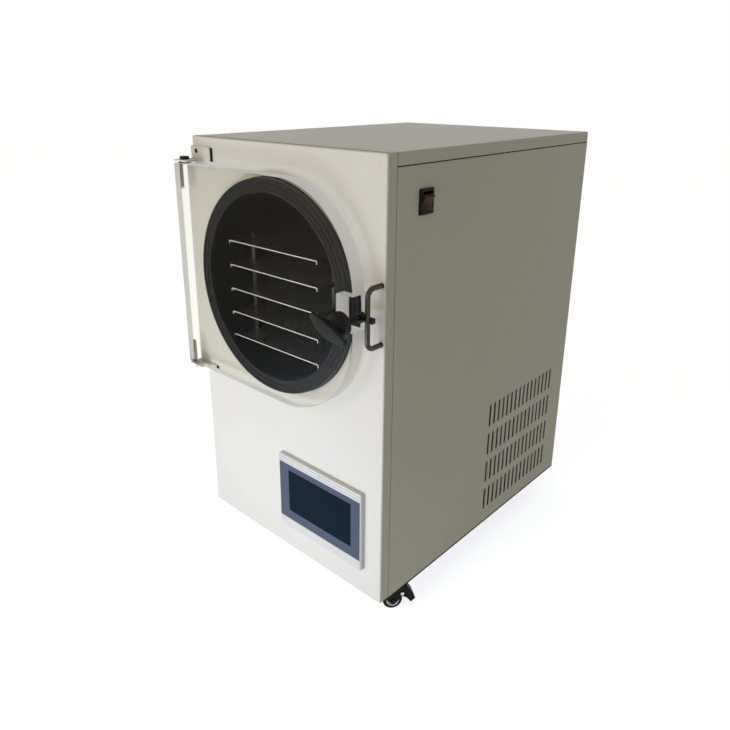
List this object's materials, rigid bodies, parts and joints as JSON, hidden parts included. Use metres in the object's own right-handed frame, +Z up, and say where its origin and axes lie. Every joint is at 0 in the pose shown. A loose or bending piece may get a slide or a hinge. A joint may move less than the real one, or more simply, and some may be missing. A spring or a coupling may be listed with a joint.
{
  "type": "freeze dryer",
  "caption": "Floor-standing laboratory freeze dryer: steel cabinet on castors, round vacuum chamber with shelves, clear hinged door with swing-bolt latch, operator screen and vented sides.",
  "frame": {"origin": "on the floor, in the middle of the whole object's box", "axes": "+X to the right seen from the front, +Y to the back, +Z up; the door faces -Y"},
  "size_m": [0.46, 0.7376, 0.791],
  "materials": {
    "front_paint": "off-white powder coat",
    "side_paint": "warm light grey powder coat",
    "stainless": "satin stainless steel",
    "galvanised": "galvanised sheet",
    "black_plastic": "moulded",
    "rubber": "moulded silicone rubber",
    "foam": "closed-cell foam",
    "copper": "drawn copper tube",
    "acrylic": "clear cast acrylic with polished edges",
    "dark_metal": "blackened steel",
    "silver_plastic": "silver-grey moulding",
    "display": "dark glossy touch glass",
    "grey_plastic": "moulded",
    "dark_red": "moulded",
    "black_enamel": "black enamel",
    "tyre": "black tread on a light grey hub"
  },
  "bodies": {
    "cabinet": {"front_panel": "front_paint", "hinge_bracket_upper": "front_paint", "hinge_bracket_lower": "front_paint", "top_cover": "side_paint", "right_side_panel": "side_paint", "left_side_panel": "side_paint", "back_panel": "side_paint", "base_tray": "galvanised", "mid_deck": "galvanised", "cradle_front": "galvanised", "cradle_rear": "galvanised", "condenser_coil": "galvanised", "chamber_vessel": "stainless", "shelf_rack": "stainless", "vacuum_port": "stainless", "shelf_1": "stainless", "shelf_2": "stainless", "shelf_3": "stainless", "shelf_4": "stainless", "shelf_5": "stainless", "door_seal": "rubber", "insulation_jacket": "foam", "evaporator_coil": "copper", "latch_rod": "dark_metal", "screen_frame": "silver_plastic", "screen_glass": "display", "screen_body": "black_plastic", "switch_frame": "black_plastic", "compressor": "black_enamel", "fan_shroud": "black_enamel", "fan_motor": "black_enamel", "control_box": "grey_plastic", "power_inlet": "black_plastic", "castor_plate_front_right": "galvanised", "castor_plate_front_left": "galvanised", "castor_plate_rear_right": "galvanised", "castor_plate_rear_left": "galvanised"},
    "door": {"door": "acrylic", "hinge_pin_upper": "black_enamel", "hinge_pin_lower": "black_enamel", "hinge_washer_upper": "black_plastic", "hinge_washer_lower": "black_plastic"},
    "latch": {"latch_bolt": "dark_metal"},
    "knob": {"latch_knob": "black_plastic"},
    "rocker": {"switch_rocker": "dark_red"},
    "fan": {"fan_rotor": "grey_plastic"},
    "castor_front_right": {"castor_fork_front_right": "black_enamel"},
    "wheel_front_right": {"castor_wheel_front_right": "tyre"},
    "pedal_front_right": {"brake_pedal_front_right": "black_enamel"},
    "castor_front_left": {"castor_fork_front_left": "black_enamel"},
    "wheel_front_left": {"castor_wheel_front_left": "tyre"},
    "pedal_front_left": {"brake_pedal_front_left": "black_enamel"},
    "castor_rear_right": {"castor_fork_rear_right": "black_enamel"},
    "wheel_rear_right": {"castor_wheel_rear_right": "tyre"},
    "castor_rear_left": {"castor_fork_rear_left": "black_enamel"},
    "wheel_rear_left": {"castor_wheel_rear_left": "tyre"}
  },
  "joints": [
    {"name": "door_swing", "type": "hinge", "parent": "cabinet", "child": "door", "pos_m": [-0.21697, -0.29775, 0.563], "axis": [0, 0, -1], "range_deg": [0, 165]},
    {"name": "latch_swing", "type": "hinge", "parent": "cabinet", "child": "latch", "pos_m": [0.21303, -0.30125, 0.5625], "axis": [0, 0, 1], "range_deg": [0, 100]},
    {"name": "knob_turn", "type": "hinge", "parent": "latch", "child": "knob", "pos_m": [0.19503, -0.33125, 0.5615], "axis": [0, -1, 0], "continuous": true},
    {"name": "switch_rock", "type": "hinge", "parent": "cabinet", "child": "rocker", "pos_m": [0.21203, -0.18565, 0.7175], "axis": [0, -1, 0], "range_deg": [0, 24]},
    {"name": "fan_spin", "type": "hinge", "parent": "cabinet", "child": "fan", "pos_m": [0.15503, 0.15875, 0.189], "axis": [1, 0, 0], "continuous": true},
    {"name": "castor_swivel_front_right", "type": "hinge", "parent": "cabinet", "child": "castor_front_right", "pos_m": [0.18903, -0.22525, 0.034], "axis": [0, 0, 1], "continuous": true},
    {"name": "wheel_roll_front_right", "type": "hinge", "parent": "castor_front_right", "child": "wheel_front_right", "pos_m": [0.19764, -0.21296, 0.0175], "axis": [0.8192, -0.5736, 0], "continuous": true},
    {"name": "brake_press_front_right", "type": "hinge", "parent": "castor_front_right", "child": "pedal_front_right", "pos_m": [0.20681, -0.19986, 0.032], "axis": [-0.8192, 0.5736, 0], "range_deg": [0, 8]},
    {"name": "castor_swivel_front_left", "type": "hinge", "parent": "cabinet", "child": "castor_front_left", "pos_m": [-0.19897, -0.22525, 0.034], "axis": [0, 0, 1], "continuous": true},
    {"name": "wheel_roll_front_left", "type": "hinge", "parent": "castor_front_left", "child": "wheel_front_left", "pos_m": [-0.19037, -0.21296, 0.0175], "axis": [0.8192, -0.5736, 0], "continuous": true},
    {"name": "brake_press_front_left", "type": "hinge", "parent": "castor_front_left", "child": "pedal_front_left", "pos_m": [-0.18119, -0.19986, 0.032], "axis": [-0.8192, 0.5736, 0], "range_deg": [0, 8]},
    {"name": "castor_swivel_rear_right", "type": "hinge", "parent": "cabinet", "child": "castor_rear_right", "pos_m": [0.18903, 0.28275, 0.034], "axis": [0, 0, 1], "continuous": true},
    {"name": "wheel_roll_rear_right", "type": "hinge", "parent": "castor_rear_right", "child": "wheel_rear_right", "pos_m": [0.17403, 0.28275, 0.0175], "axis": [0, 1, 0], "continuous": true},
    {"name": "castor_swivel_rear_left", "type": "hinge", "parent": "cabinet", "child": "castor_rear_left", "pos_m": [-0.19897, 0.28275, 0.034], "axis": [0, 0, 1], "continuous": true},
    {"name": "wheel_roll_rear_left", "type": "hinge", "parent": "castor_rear_left", "child": "wheel_rear_left", "pos_m": [-0.18448, 0.28663, 0.0175], "axis": [0.2588, -0.9659, 0], "continuous": true}
  ]
}
